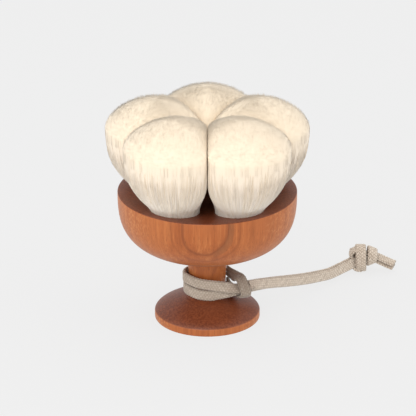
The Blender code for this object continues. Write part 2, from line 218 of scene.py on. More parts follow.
class Nodes:
    """A short way to wire a material's nodes."""

    def __init__(self, material):
        self.tree = material.node_tree
        self.shader = self.tree.nodes["Principled BSDF"]

    def add(self, kind, settings=None, **inputs):
        node = self.tree.nodes.new(kind)
        for key, value in (settings or {}).items():
            setattr(node, key, value)
        for key, value in inputs.items():
            self.feed(node.inputs[key.replace("_", " ")], value)
        return node

    def feed(self, socket, value):
        if isinstance(value, bpy.types.NodeSocket):
            self.tree.links.new(value, socket)
        else:
            socket.default_value = value

    def math(self, operation, a, b=0.0, c=0.0, clamp=False):
        node = self.tree.nodes.new("ShaderNodeMath")
        node.operation = operation
        node.use_clamp = clamp
        for socket, value in zip(node.inputs, (a, b, c)):
            self.feed(socket, value)
        return node.outputs[0]

    def vector(self, operation, a, b=(0.0, 0.0, 0.0)):
        node = self.tree.nodes.new("ShaderNodeVectorMath")
        node.operation = operation
        self.feed(node.inputs[0], a)
        self.feed(node.inputs[1], b)
        return node.outputs[0]

    def mix(self, share, a, b, blend='MIX'):
        node = self.tree.nodes.new("ShaderNodeMix")
        node.data_type = 'RGBA'
        node.blend_type = blend
        self.feed(node.inputs[0], share)
        self.feed(node.inputs[6], a)
        self.feed(node.inputs[7], b)
        return node.outputs[2]

    def ramp(self, value, stops, interpolation='EASE'):
        node = self.tree.nodes.new("ShaderNodeValToRGB")
        node.color_ramp.interpolation = interpolation
        elements = node.color_ramp.elements
        while len(elements) < len(stops):
            elements.new(0.5)
        for element, (place, colour) in zip(elements, stops):
            element.position = place
            element.color = (*colour, 1.0) if not isinstance(colour, float) else (colour,) * 3 + (1.0,)
        self.feed(node.inputs[0], value)
        return node.outputs[0]

    def noise(self, vector, scale, detail=2.0, roughness=0.5, distortion=0.0):
        node = self.add("ShaderNodeTexNoise", Vector=vector, Scale=scale, Detail=detail,
                        Roughness=roughness, Distortion=distortion)
        return node.outputs["Fac"]


# ---------------------------------------------------------------- wood

PITH = Vector((-1.5, -160.0, 0.0)) * MM    # the tree's middle, in front of the block
RING_WIDTH = 1.9 * MM
FACE_RING = 68.0                           # the year that shows as a U on the bowl's front


def cherry_wood():
    """Oiled cherry: year rings round a pith in front of the block, which show as nested U shapes
    on the bowl, long fibres and pores, ray fleck on the sides and dark end grain."""
    wood = new_material("oiled_cherry")
    n = Nodes(wood)
    place = n.add("ShaderNodeTexCoord").outputs["Object"]
    normal = n.add("ShaderNodeTexCoord").outputs["Normal"]
    height = n.add("ShaderNodeSeparateXYZ", Vector=place).outputs[2]

    # the distance from the pith, bent by slow waves, gives the year rings
    sway = n.noise(n.vector('MULTIPLY', place, (45.0, 45.0, 16.0)), 1.0, 2.0)
    curl = n.noise(n.vector('MULTIPLY', place, (230.0, 230.0, 60.0)), 1.0, 2.0)
    flat = n.vector('MULTIPLY', n.vector('SUBTRACT', place, tuple(PITH)), (1.0, 1.0, 0.0))
    length = n.tree.nodes.new("ShaderNodeVectorMath")
    length.operation = 'LENGTH'
    n.feed(length.inputs[0], flat)
    radius = n.math('MULTIPLY_ADD', n.math('SUBTRACT', sway, 0.5), 0.0028, length.outputs["Value"])
    radius = n.math('MULTIPLY_ADD', n.math('SUBTRACT', curl, 0.5), 0.0006, radius)
    phase = n.math('ADD', n.math('MULTIPLY', radius, 1.0 / RING_WIDTH), 0.66)
    year = n.math('FLOOR', phase)
    late = n.ramp(n.math('ABSOLUTE', n.math('SUBTRACT', n.math('FRACT', phase), 0.5)),
                  [(0.0, 1.0), (0.05, 0.75), (0.20, 0.15), (0.5, 0.0)])
    chance = n.noise(n.add("ShaderNodeCombineXYZ", X=n.math('MULTIPLY', year, 3.71),
                           Y=1.3).outputs[0], 1.0, 0.0)
    on_face = n.math('LESS_THAN', n.math('ABSOLUTE', n.math('SUBTRACT', year, FACE_RING)), 0.5)
    strong = n.math('MAXIMUM', on_face, n.ramp(chance, [(0.40, 0.10), (0.66, 0.55)]))
    fibre = n.noise(n.vector('MULTIPLY', place, (2600.0, 2600.0, 80.0)), 1.0, 3.0, 0.6)
    streak = n.noise(n.vector('MULTIPLY', place, (650.0, 650.0, 14.0)), 1.0, 4.0, 0.6)
    cloud = n.noise(n.vector('MULTIPLY', place, (60.0, 60.0, 22.0)), 1.0, 3.0)
    pores = n.noise(n.vector('MULTIPLY', place, (4200.0, 4200.0, 220.0)), 1.0, 1.0)
    pore = n.ramp(pores, [(0.62, 0.0), (0.72, 1.0)])

    base = n.ramp(streak, [(0.28, WOOD_DARK), (0.5, WOOD_MIDDLE), (0.74, WOOD_LIGHT)])
    base = n.mix(n.ramp(cloud, [(0.38, 0.0), (0.72, 0.45)]), base, (*WOOD_LIGHT, 1.0))
    base = n.mix(n.math('MULTIPLY', n.math('MULTIPLY', late, strong), 0.75), base, (*WOOD_RING, 1.0))
    outside = n.ramp(n.math('SUBTRACT', phase, FACE_RING), [(0.40, 0.0), (0.62, 1.0), (1.2, 0.7), (2.0, 0.0)])
    right = n.ramp(n.math('MULTIPLY', n.add("ShaderNodeSeparateXYZ", Vector=place).outputs[0], 50.0),
                   [(0.02, 0.0), (0.22, 1.0), (0.50, 1.0), (0.75, 0.0)])
    base = n.mix(n.math('MULTIPLY', n.math('MULTIPLY', outside, right), 0.50), base,
                 (*WOOD_STREAK, 1.0))
    base = n.mix(n.math('MULTIPLY', n.ramp(fibre, [(0.35, 0.0), (0.75, 1.0)]), 0.30), base,
                 (*WOOD_RING, 1.0))
    base = n.mix(n.math('MULTIPLY', pore, 0.45), base, (*WOOD_PORE, 1.0))

    # bright scales of ray where the cut runs along the rays, out at the sides
    facing = n.add("ShaderNodeSeparateXYZ", Vector=normal)
    sideways = n.ramp(n.math('ABSOLUTE', facing.outputs[0]), [(0.55, 0.0), (0.85, 1.0)])
    scales = n.noise(n.vector('MULTIPLY', place, (300.0, 2100.0, 850.0)), 1.0, 2.0, 0.55)
    fleck = n.ramp(scales, [(0.50, 0.0), (0.62, 1.0)])
    base = n.mix(n.math('MULTIPLY', n.math('MULTIPLY', fleck, sideways), 0.55), base,
                 (*WOOD_FLECK, 1.0))

    # the foot's top and the dish are end grain, which drinks the oil and goes dark
    end_grain = n.math('MAXIMUM', n.ramp(facing.outputs[2], [(0.30, 0.0), (0.62, 1.0)]),
                       n.ramp(n.math('MULTIPLY', facing.outputs[2], -1.0), [(0.75, 0.0), (1.0, 0.6)]))
    speck = n.noise(n.vector('MULTIPLY', place, (1500.0, 1500.0, 1500.0)), 1.0, 2.0)
    dark = n.ramp(speck, [(0.35, END_GRAIN_DARK), (0.65, END_GRAIN_LIGHT)])
    dark = n.mix(n.math('MULTIPLY', n.math('MULTIPLY', late, strong), 0.55), dark, (*END_GRAIN_RING, 1.0))
    dark = n.mix(n.ramp(cloud, [(0.4, 0.0), (0.75, 0.5)]), dark, (*END_GRAIN_LIGHT, 1.0))
    base = n.mix(end_grain, base, dark)
    n.feed(n.shader.inputs["Base Color"], base)

    n.feed(n.shader.inputs["Roughness"], n.ramp(fibre, [(0.3, 0.38), (0.8, 0.50)]))
    relief = n.math('MULTIPLY_ADD', pore, -0.7, n.math('MULTIPLY', fibre, 0.5))
    bump = n.add("ShaderNodeBump", Strength=0.22, Distance=0.00006, Height=relief)
    n.feed(n.shader.inputs["Normal"], bump.outputs[0])
    n.shader.inputs["Specular IOR Level"].default_value = 0.35
    return wood


WOOD_DARK = (0.320, 0.084, 0.020)
WOOD_MIDDLE = (0.414, 0.114, 0.028)
WOOD_LIGHT = (0.520, 0.172, 0.048)
WOOD_RING = (0.205, 0.050, 0.013)
WOOD_STREAK = (0.230, 0.092, 0.036)
WOOD_PORE = (0.130, 0.032, 0.009)
WOOD_FLECK = (0.600, 0.250, 0.085)
END_GRAIN_DARK = (0.124, 0.027, 0.009)
END_GRAIN_LIGHT = (0.206, 0.053, 0.019)
END_GRAIN_RING = (0.070, 0.017, 0.006)


def dish_height(radius):
    return RIM_HEIGHT - DISH_DEPTH * (1.0 - (radius / BOWL_RADIUS) ** 2)


def foot_height(radius):
    share = (FOOT_RADIUS - radius) / (FOOT_RADIUS - STEM_RADIUS)
    return FOOT_EDGE_HEIGHT + FOOT_DOME_RISE * share ** FOOT_DOME_POWER


def stem_radius(height):
    share = (height - WAIST_HEIGHT) / (BOWL_BOTTOM_HEIGHT - WAIST_HEIGHT)
    return STEM_RADIUS + (STEM_TOP_RADIUS - STEM_RADIUS) * share ** 2


def arc(centre, radius, start, end, steps):
    """Points of (radius, height) along an arc, from start to end in degrees."""
    turns = [radians(start + (end - start) * k / steps) for k in range(steps + 1)]
    return [(centre[0] + radius * cos(turn), centre[1] + radius * sin(turn)) for turn in turns]


def handle_outline():
    points = [(0.0, 0.0), (FOOT_RADIUS * 0.5, 0.0)]
    points += arc((FOOT_RADIUS - EDGE_ROUND, EDGE_ROUND), EDGE_ROUND, -90, 0, 4)
    fillet_end = STEM_RADIUS + STEM_FILLET * (1.0 - cos(STEM_FILLET_SWEEP))
    dome_run = FOOT_RADIUS - fillet_end
    dome = [FOOT_RADIUS - dome_run * (k / 24) ** 2.0 for k in range(25)]
    points += [(radius, foot_height(radius)) for radius in dome]
    fillet_centre = foot_height(fillet_end) + STEM_FILLET * sin(STEM_FILLET_SWEEP)
    for k in range(1, 13):
        turn = STEM_FILLET_SWEEP * (1.0 - k / 12)
        points.append((STEM_RADIUS + STEM_FILLET * (1.0 - cos(turn)),
                       fillet_centre - STEM_FILLET * sin(turn)))
    for k in range(1, 13):
        height = WAIST_HEIGHT + (BOWL_BOTTOM_HEIGHT - WAIST_HEIGHT) * k / 12
        points.append((stem_radius(height), height))
    start = atan2(1.0, (STEM_TOP_RADIUS / BOWL_RADIUS) ** (1.0 / BOWL_POWER))
    for k in range(1, 48):
        turn = start * (1.0 - k / 48)
        points.append((BOWL_RADIUS * cos(turn) ** BOWL_POWER,
                       RIM_HEIGHT - BOWL_DEPTH * sin(turn) ** BOWL_POWER))
    dish_edge = BOWL_RADIUS - EDGE_ROUND
    points += arc((dish_edge, dish_height(dish_edge) - EDGE_ROUND), EDGE_ROUND, 0, 90, 4)
    points += [(dish_edge * (1.0 - k / 24), dish_height(dish_edge * (1.0 - k / 24)))
               for k in range(1, 25)]
    return points


def build_handle(wood):
    mesh = turned("turned_handle", handle_outline(), LATHE_STEPS)
    body = bpy.data.objects.new("blank", mesh)
    bpy.context.scene.collection.objects.link(body)
    cutters = []
    for axis in TUFT_AXES:
        bm = bmesh.new()
        height = RIM_HEIGHT + 10 * MM - SOCKET_FLOOR
        bmesh.ops.create_cone(bm, cap_ends=True, segments=72, radius1=SOCKET_RADIUS,
                              radius2=SOCKET_RADIUS, depth=height)
        bmesh.ops.translate(bm, verts=bm.verts, vec=(axis.x, axis.y, SOCKET_FLOOR + height / 2))
        drill = bpy.data.meshes.new("drill")
        bm.to_mesh(drill)
        bm.free()
        cutter = bpy.data.objects.new("drill", drill)
        bpy.context.scene.collection.objects.link(cutter)
        cutters.append(cutter)
        cut = body.modifiers.new("socket", 'BOOLEAN')
        cut.object = cutter
        cut.operation = 'DIFFERENCE'
    depsgraph = bpy.context.evaluated_depsgraph_get()
    finished = bpy.data.meshes.new_from_object(body.evaluated_get(depsgraph))
    for thing in cutters + [body]:
        bpy.data.objects.remove(thing)
    finished.set_sharp_from_angle(angle=radians(30))
    add_piece("turned_handle", finished, "brush", wood, ["handle"])


# ---------------------------------------------------------------- hair

def soft_least(a, b, softness):
    """The smaller of two lengths, rounded where they cross."""
    mean = (a + b) / 2
    return mean - np.sqrt(((a - b) / 2) ** 2 + softness ** 2)


def tuft_reach(turn_from_outward, height):
    """A tuft's outer radius in a direction, at a height above the dish: flare, bulge, pressed sides."""
    rise = np.clip((height - TUFT_FLARE_START) / (TUFT_WIDEST - TUFT_FLARE_START), 0.0, 1.0)
    spread = 1.0 - (1.0 - rise) ** TUFT_FLARE_POWER
    wall = TUFT_RING_RADIUS * sin(pi / TUFT_COUNT)
    toward = np.maximum.reduce([np.cos(turn_from_outward - side * (pi / 2 + pi / TUFT_COUNT))
                                for side in (-1, 1)])
    toward = np.maximum(toward, 0.05)
    held = soft_least(TUFT_RADIUS, (wall + TUFT_OVERLAP) / toward, PRESS_SOFTNESS)
    free = TUFT_MOUTH_RADIUS + (TUFT_RADIUS - TUFT_MOUTH_RADIUS) * spread
    pressed = TUFT_MOUTH_RADIUS + (held - TUFT_MOUTH_RADIUS) * spread
    return soft_least(pressed, wall / toward, PRESS_SOFTNESS), free


PRESS_SOFTNESS = 0.35 * MM
CREASE_DEPTH = 2.6 * MM


def hair_point(axis, outward, share, turn, along, extra=0.0):
    """Where a hair of a tuft is: share of the way out from the axis, its direction and how far up
    it the point is. extra is how much longer than the tuft's surface it is."""
    base = dish_height(TUFT_RING_RADIUS)
    crown_reach, crown_free = tuft_reach(turn - outward, np.full_like(share, TUFT_WIDEST))
    out = share * crown_reach / TUFT_RADIUS
    pressed = 1.0 - crown_reach / crown_free
    crown = np.clip(1.0 - out ** TUFT_CROWN_POWER, 0.0, 1.0) ** (1.0 / TUFT_CROWN_POWER)
    tip = TUFT_WIDEST + TUFT_DOME * crown
    tip = tip - CREASE_DEPTH * np.clip(pressed / 0.4, 0.0, 1.0) * share ** 7 + extra
    root = -6.0 * MM
    height = root + (tip - root) * along
    reach, _ = tuft_reach(turn - outward, height)
    radius = share * reach
    return np.stack([axis.x + radius * np.cos(turn), axis.y + radius * np.sin(turn),
                     base + height], axis=-1)


def hair_material(name, shade, streaks=0.0):
    """Hair coloured by how far along it a point is and by each hair's own tone. streaks draws the
    hairs of a smooth surface as darker lines, partly their own tone and partly painted shade in the gaps
    between hairs, which fade towards the crown."""
    hair = new_material(name)
    n = Nodes(hair)
    along = n.add("ShaderNodeAttribute", {"attribute_name": "along"}).outputs["Fac"]
    tone = n.add("ShaderNodeAttribute", {"attribute_name": "tone"}).outputs["Fac"]
    length = n.ramp(along, [(0.0, (0.55, 0.44, 0.32)), (0.16, (0.83, 0.78, 0.70)),
                            (0.35, (0.83, 0.76, 0.68)), (0.70, (0.83, 0.72, 0.60)),
                            (1.0, (0.88, 0.75, 0.58))], 'LINEAR')
    tint = n.ramp(tone, [(0.0, (0.84, 0.76, 0.62)), (0.25, (0.95, 0.90, 0.80)),
                         (0.55, (1.0, 0.99, 0.97)), (1.0, (1.0, 1.0, 1.0))], 'LINEAR')
    colour = n.mix(shade, length, tint, 'MULTIPLY')
    if streaks:
        around = n.add("ShaderNodeAttribute", {"attribute_name": "around"}).outputs["Vector"]
        fine = n.noise(n.vector('MULTIPLY', around, (2200.0, 2200.0, 900.0)), 1.0, 3.0, 0.6)
        locks = n.noise(n.vector('MULTIPLY', around, (500.0, 500.0, 400.0)), 1.0, 2.0)
        # partly painted shade: dark hair-wide lines on the core, the hairs' own tone together with the shade
        # in the gaps between hairs, weaker towards the crown
        drawn = n.ramp(n.math('ADD', n.math('MULTIPLY', fine, 0.65), n.math('MULTIPLY', locks, 0.35)),
                       [(0.36, 1.0), (0.56, 0.0)])
        fade = n.ramp(along, [(0.30, 1.0), (0.62, 0.45), (0.90, 0.05)])
        colour = n.mix(n.math('MULTIPLY', n.math('MULTIPLY', drawn, fade), streaks), colour,
                       (0.66, 0.53, 0.38, 1.0))
        bump = n.add("ShaderNodeBump", Strength=0.25, Distance=0.00012,
                     Height=n.math('MULTIPLY', fine, fade))
        n.feed(n.shader.inputs["Normal"], bump.outputs[0])
    n.feed(n.shader.inputs["Base Color"], colour)
    n.shader.inputs["Roughness"].default_value = 0.62
    n.shader.inputs["Specular IOR Level"].default_value = 0.2
    n.shader.inputs["Sheen Weight"].default_value = 0.2
    n.shader.inputs["Sheen Roughness"].default_value = 0.6
    return hair


def set_value(mesh, name, values):
    layer = mesh.attributes.new(name, 'FLOAT', 'POINT')
    layer.data.foreach_set("value", np.asarray(values, np.float32).ravel())


def set_direction(mesh, name, rows):
    layer = mesh.attributes.new(name, 'FLOAT_VECTOR', 'POINT')
    layer.data.foreach_set("vector", np.asarray(rows, np.float32).ravel())


def set_bake_map(mesh, across, along):
    """A map laid out by tone and by length, so that hairs of one tone share their place on it."""
    layer = mesh.uv_layers.new(name="OFBake")
    corners = np.empty(len(mesh.loops), np.int32)
    mesh.loops.foreach_get("vertex_index", corners)
    spots = np.stack([across[corners], along[corners]], axis=-1)
    layer.data.foreach_set("uv", spots.astype(np.float32).ravel())


def thread_section():
    """The three-sided section that hairs are swept with."""
    curve = bpy.data.curves.new("hair_section", 'CURVE')
    spline = curve.splines.new('POLY')
    spline.points.add(2)
    for knob, turn in zip(spline.points, (0.0, 2 * pi / 3, 4 * pi / 3)):
        knob.co = (cos(turn), sin(turn), 0.0, 1.0)
    spline.use_cyclic_u = True
    section = bpy.data.objects.new("hair_section", curve)
    bpy.context.scene.collection.objects.link(section)
    return section


def swell_normals(mesh, axis, outward, own_share):
    """Turn each hair's shading towards the tuft's own surface, as hairs lit through each other."""
    count = len(mesh.vertices)
    spots = np.empty(count * 3, np.float32)
    own = np.empty(count * 3, np.float32)
    mesh.vertices.foreach_get("co", spots)
    mesh.vertices.foreach_get("normal", own)
    spots, own = spots.reshape(-1, 3), own.reshape(-1, 3)
    heart = np.array([axis.x - 2.0 * MM * cos(outward), axis.y - 2.0 * MM * sin(outward), 0.0])
    away = spots - heart
    height = spots[:, 2] - dish_height(TUFT_RING_RADIUS)
    away[:, 2] = np.where(height > TUFT_WIDEST, (height - TUFT_WIDEST) * (TUFT_RADIUS / TUFT_DOME) ** 2,
                          (height - TUFT_WIDEST) * 0.25) + 2.0 * MM
    away /= np.linalg.norm(away, axis=1)[:, None]
    mixed = away * (1.0 - own_share) + own * own_share
    mixed /= np.maximum(np.linalg.norm(mixed, axis=1), 1e-6)[:, None]
    mesh.normals_split_custom_set_from_vertices(mixed.tolist())


def hairs_mesh(name, points, thickness, tones, alongs, section):
    """Sweep hairs: points is (hairs, steps, 3), thickness is (hairs, steps) and tones is (hairs,)."""
    count, steps = thickness.shape
    curve = bpy.data.curves.new(name, 'CURVE')
    curve.dimensions = '3D'
    curve.bevel_mode = 'OBJECT'
    curve.bevel_object = section
    rows = np.concatenate([points, np.ones((count, steps, 1))], axis=2).astype(np.float32)
    thickness = thickness.astype(np.float32)
    for k in range(count):
        spline = curve.splines.new('POLY')
        spline.points.add(steps - 1)
        spline.points.foreach_set("co", rows[k].ravel())
        spline.points.foreach_set("radius", thickness[k])
    swept = bpy.data.objects.new(name, curve)
    bpy.context.scene.collection.objects.link(swept)
    depsgraph = bpy.context.evaluated_depsgraph_get()
    mesh = bpy.data.meshes.new_from_object(swept.evaluated_get(depsgraph))
    mesh.name = name
    bpy.data.objects.remove(swept)
    for layer in list(mesh.uv_layers):
        mesh.uv_layers.remove(layer)
    corner_tone = np.repeat(tones, steps * 3)
    corner_along = np.repeat(alongs.ravel(), 3)
    side = np.tile(np.arange(3) * 0.004, count * steps)
    set_value(mesh, "tone", corner_tone)
    set_value(mesh, "along", corner_along)
    set_bake_map(mesh, 0.01 + 0.97 * corner_tone + side, 0.01 + 0.98 * corner_along)
    close_ends(mesh)
    mesh.shade_smooth()
    return mesh


def close_ends(mesh):
    bm = bmesh.new()
    bm.from_mesh(mesh)
    bmesh.ops.remove_doubles(bm, verts=[v for v in bm.verts if v.is_boundary], dist=0.0001 * MM)
    bmesh.ops.holes_fill(bm, edges=[edge for edge in bm.edges if edge.is_boundary], sides=3)
    bmesh.ops.recalc_face_normals(bm, faces=bm.faces)
    bm.to_mesh(mesh)
    bm.free()


def clumped_tone(rng, turn, share, axis):
    """Neighbouring hairs share a tone, as locks do, with a little of each hair's own."""
    waves = sum(np.sin(turn * k + axis.x * 900 * k + share * 11) / k for k in (7, 17, 31, 53))
    return np.clip(0.62 + 0.16 * waves + rng.normal(0.0, 0.17, turn.shape), 0.0, 1.0)


def waxed_thread():
    """The thread wound round each tuft's root: fine level turns, waxed."""
    thread = new_material("waxed_thread")
    n = Nodes(thread)
    place = n.add("ShaderNodeTexCoord").outputs["Object"]
    wound = n.add("ShaderNodeTexWave", {"bands_direction": 'Z', "wave_profile": 'SIN'}, Vector=place,
                  Scale=700.0, Distortion=0.6)
    fuzz = n.noise(place, 3000.0, 3.0)
    base = n.ramp(wound.outputs["Fac"], [(0.0, (0.20, 0.15, 0.09)), (0.6, (0.52, 0.44, 0.31))])
    base = n.mix(n.math('MULTIPLY', fuzz, 0.3), base, (0.62, 0.55, 0.42, 1.0))
    n.feed(n.shader.inputs["Base Color"], base)
    n.shader.inputs["Roughness"].default_value = 0.5
    bump = n.add("ShaderNodeBump", Strength=0.6, Distance=0.0001, Height=wound.outputs["Fac"])
    n.feed(n.shader.inputs["Normal"], bump.outputs[0])
    return thread


def amber_resin():
    """The set resin that holds a tuft's root, with small bubbles in it."""
    resin = new_material("amber_resin")
    n = Nodes(resin)
    place = n.add("ShaderNodeTexCoord").outputs["Object"]
    cells = n.add("ShaderNodeTexVoronoi", Vector=place, Scale=1400.0).outputs["Distance"]
    bubble = n.ramp(cells, [(0.10, 1.0), (0.22, 0.0)])
    cloud = n.noise(place, 300.0, 3.0)
    base = n.ramp(cloud, [(0.3, (0.30, 0.17, 0.07)), (0.7, (0.42, 0.27, 0.12))])
    base = n.mix(n.math('MULTIPLY', bubble, 0.6), base, (0.60, 0.46, 0.28, 1.0))
    n.feed(n.shader.inputs["Base Color"], base)
    n.feed(n.shader.inputs["Roughness"], n.ramp(cloud, [(0.3, 0.22), (0.7, 0.38)]))
    bump = n.add("ShaderNodeBump", Strength=0.3, Distance=0.00005, Height=bubble)
    n.feed(n.shader.inputs["Normal"], bump.outputs[0])
    return resin


def finish_roots():
    """The bound and glued roots stay as the frame has them, with their own finishes."""
    thread, resin = waxed_thread(), amber_resin()
    for number in range(1, TUFT_COUNT + 1):
        for name, material in (("tuft_binding_", thread), ("tuft_plug_", resin)):
            for slot in bpy.data.objects[name + str(number)].material_slots:
                slot.material = material


def build_tuft(number, axis, section, hair, core_hair):
    rng = np.random.default_rng(100 + number)
    outward = atan2(axis.y, axis.x)
    core_share = 0.985

    # a closed core just under the hairs' surface
    ring_count, side_rings, crown_rings = 144, 26, 22
    turns = np.linspace(0, 2 * pi, ring_count, endpoint=False)
    bm = bmesh.new()
    corners = bmesh.ops.create_circle(bm, segments=ring_count, radius=1.0)["verts"]
    ring = [edge for edge in bm.edges]
    rows = [(core_share, k / side_rings) for k in range(side_rings + 1)]
    rows += [(core_share * (1.0 - (k / crown_rings) ** 1.15), 1.0) for k in range(1, crown_rings)]
    for k in range(1, len(rows)):
        pushed = bmesh.ops.extrude_edge_only(bm, edges=ring)["geom"]
        ring = [item for item in pushed if isinstance(item, bmesh.types.BMEdge)]
        moved = [item for item in pushed if isinstance(item, bmesh.types.BMVert)]
        bmesh.ops.translate(bm, vec=(0.0, 0.0, 1.0), verts=moved)
    bmesh.ops.holes_fill(bm, edges=[edge for edge in bm.edges if edge.is_boundary], sides=0)
    bm.verts.ensure_lookup_table()
    level = np.array([round(v.co.z) for v in bm.verts])
    turn = np.array([atan2(v.co.y, v.co.x) for v in bm.verts])
    share = np.array([rows[k][0] for k in level])
    along = np.array([rows[k][1] for k in level])
    spots = hair_point(axis, outward, share, turn, along * 0.985, 0.0)
    for v, spot in zip(bm.verts, spots):
        v.co = spot
    mesh = mesh_of(bm, "tuft_core_%d" % number, 80.0)
    set_value(mesh, "along", along)
    set_value(mesh, "tone", 0.8 + 0.0 * along)
    set_direction(mesh, "around", np.stack([np.cos(turn) * share, np.sin(turn) * share,
                                            0.04 * along + number], axis=1) * TUFT_RADIUS)
    add_piece("tuft_core_%d" % number, mesh, "brush", core_hair, ["hair_tuft_%d" % number])

    # long hairs that stand out at the root and sink into the mass on their way up
    count, steps = SIDE_HAIRS, SIDE_HAIR_STEPS + 1
    turn = rng.random(count) * 2 * pi
    reach = 0.38 + 0.6 * rng.random(count)
    climb = np.linspace(0.0, 1.0, steps)[None, :]
    alongs = reach[:, None] * climb
    stand = 0.006 + 0.026 * rng.random(count) ** 1.5
    shares = core_share + stand[:, None] * (1.0 - climb ** 4) - 0.010 * climb ** 4
    drift = rng.normal(0.0, 0.03, count)[:, None] * (alongs - 0.3)
    spots = hair_point(axis, outward, shares, turn[:, None] + drift, alongs, 0.0)
    thick = (0.085 * MM * (0.7 + 0.6 * rng.random(count)))[:, None] * np.array(
        [0.9] * (steps - 3) + [0.85, 0.7, 0.4])[None, :]
    tones = np.clip(clumped_tone(rng, turn, shares[:, 0], axis) - 0.12, 0.0, 1.0)
    mesh = hairs_mesh("tuft_side_hair_%d" % number, spots, thick, tones, alongs, section)
    swell_normals(mesh, axis, outward, 0.35)
    add_piece("tuft_side_hair_%d" % number, mesh, "brush", hair)

    # short ends that make the soft crown
    count = CROWN_HAIRS
    share = 0.995 * np.sqrt(rng.random(count))
    turn = rng.random(count) * 2 * pi
    base_along = 0.86
    alongs = np.array([base_along, 0.95, 1.0])[None, :].repeat(count, 0)
    extra = rng.normal(0.12 * MM, 0.16 * MM, count) + 0.7 * MM * rng.random(count) ** 12
    spots = hair_point(axis, outward, share[:, None].repeat(3, 1), turn[:, None].repeat(3, 1),
                       alongs, extra[:, None].repeat(3, 1))
    lean = rng.normal(0.0, 0.16 * MM, (count, 2))
    spots[:, 2, :2] += lean
    thick = (0.065 * MM * (0.75 + 0.5 * rng.random(count)))[:, None] * np.array([1.0, 0.7, 0.25])[None, :]
    tones = np.clip(0.8 + rng.normal(0.0, 0.1, count), 0.0, 1.0)
    mesh = hairs_mesh("tuft_crown_hair_%d" % number, spots, thick, tones, alongs, section)
    swell_normals(mesh, axis, outward, 0.12)
    add_piece("tuft_crown_hair_%d" % number, mesh, "brush", hair)


# ---------------------------------------------------------------- braided cord

BRAID_WIDTH = 4.2 * MM
BRAID_THICKNESS = 1.3 * MM
BRAID_GAP = 0.3 * MM
STRAP_PITCH = BRAID_THICKNESS + BRAID_GAP
CARRIERS = 10                      # yarns each way
YARN_HALF_WIDTH = 0.35 * MM
YARN_HALF_THICKNESS = 0.145 * MM
WEAVE_DEPTH = 0.15 * MM
LAY_LENGTH = 11.0 * MM             # one turn of a yarn round the strap
STATION_STEP = 0.45 * MM
FOOT_TOP = FOOT_EDGE_HEIGHT + FOOT_DOME_RISE

# angle round the stem, distance beyond the waist's radius, height above the foot's dome and how
# far the strap's face is tipped up
WRAPS = {
    "hitch_upper_wrap": (
        (-12.4, 10.1, 4.6, 50), (-21.7, 8.1, 4.75, 60), (-36.5, 5.95, 5, 48), (-58.3, 3.75, 6.2, 12),
        (-83, 1.95, 6.65, 0), (-115, 1.75, 7.15, 0), (-154, 1.8, 7.45, 0), (-182, 1.65, 7.15, 0),
        (-210, 1.15, 6.85, 0), (-240, 1.05, 6.75, 0), (-270, 1.05, 6.75, 0), (-298, 1.15, 6.85, 0),
        (-321, 1.6, 6.8, 0),
    ),
    "hitch_lower_wrap": (
        (-10.7, 8.95, 3.6, 50), (-19.1, 7.2, 3.5, 58), (-31, 5.2, 3.6, 50), (-48, 2.9, 3.1, 24),
        (-66, 1.6, 2.55, 6), (-83, 1.4, 2.3, 0), (-115, 1.4, 2.6, 0), (-154, 1.4, 2.85, 0),
        (-182, 1.45, 2.7, 0), (-210, 1.5, 2.45, 3), (-240, 1.5, 2.35, 5), (-270, 1.5, 2.35, 5),
        (-298, 1.5, 2.35, 3), (-319, 1.6, 2.35, 0),
    ),
}
# the same, with the direction that the face looks in
BIGHT = (
    (33, 2, 6.7, (-0.86, -0.5, 0.05)), (11.9, 2.45, 6.6, (-0.82, -0.55, 0.2)),
    (-8.6, 3.97, 7.1, (-0.45, -0.55, 0.7)), (-23.6, 6.5, 8.0, (0.05, -0.45, 0.89)),
    (-31.2, 9.0, 5.7, (0.27, -0.73, 0.6)), (-31.6, 9.85, 3.2, (0.35, -0.93, -0.1)),
    (-25.9, 7.9, 1.35, (0.15, -0.45, -0.88)), (-16.1, 5.53, 0.95, (-0.05, -0.15, -0.99)),
    (2.3, 3.4, 1.55, (-0.25, -0.15, -0.95)), (18.6, 2.75, 1.95, (-0.55, -0.32, -0.77)),
    (35, 2.1, 2.4, (-0.82, -0.57, 0)),
)
STRAND_HEADING = Vector((0.6915, 0.7224, 0.0)).normalized()
EXIT_ANGLE = radians(-11.3)
EXIT_REACH = 9.57 * MM
EXIT_HEIGHT = 4.1 * MM
THROAT_HEIGHT = 4.3 * MM
STRAND_STATIONS = (
    (0.0, 1.0, 44), (3.5, 0.93, 36), (8.0, 0.82, 24), (13.0, 0.69, 14), (18.5, 0.53, 6),
    (25.0, 0.35, 2), (31.5, 0.19, 0), (38.0, 0.06, 0), (43.5, -0.03, 0), (49.5, -0.02, 4),
    (55.0, 0.0, 8),
)
KNOT_FROM_EXIT = Vector((43.2, 43.1, 0.0)) * MM
TAIL_START = Vector((5.0, 1.2, -0.2)) * MM
TAIL_STATIONS = ((0.0, 0.0, 0.0), (3.3, -1.1, -1.2), (6.8, -2.4, -2.3))
TAIL_TIP = 83


def smooth_rows(rows, step):
    """A Catmull-Rom curve through rows of numbers, whose first three are a place, in even steps."""
    rows = np.array(rows, float)
    ends = np.vstack([2 * rows[0] - rows[1], rows, 2 * rows[-1] - rows[-2]])
    t = np.linspace(0.0, 1.0, 40, endpoint=False)[:, None]
    fine = []
    for p0, p1, p2, p3 in zip(ends, ends[1:], ends[2:], ends[3:]):
        fine.append(0.5 * (2 * p1 + (p2 - p0) * t + (2 * p0 - 5 * p1 + 4 * p2 - p3) * t ** 2
                           + (3 * p1 - p0 - 3 * p2 + p3) * t ** 3))
    fine = np.vstack(fine + [rows[-1:]])
    run = np.concatenate([[0.0], np.cumsum(np.linalg.norm(np.diff(fine[:, :3], axis=0), axis=1))])
    even = np.linspace(0.0, run[-1], max(int(run[-1] / step), 4) + 1)
    return np.stack([np.interp(even, run, column) for column in fine.T], axis=1), even


def unit(rows):
    return rows / np.maximum(np.linalg.norm(rows, axis=-1), 1e-9)[..., None]


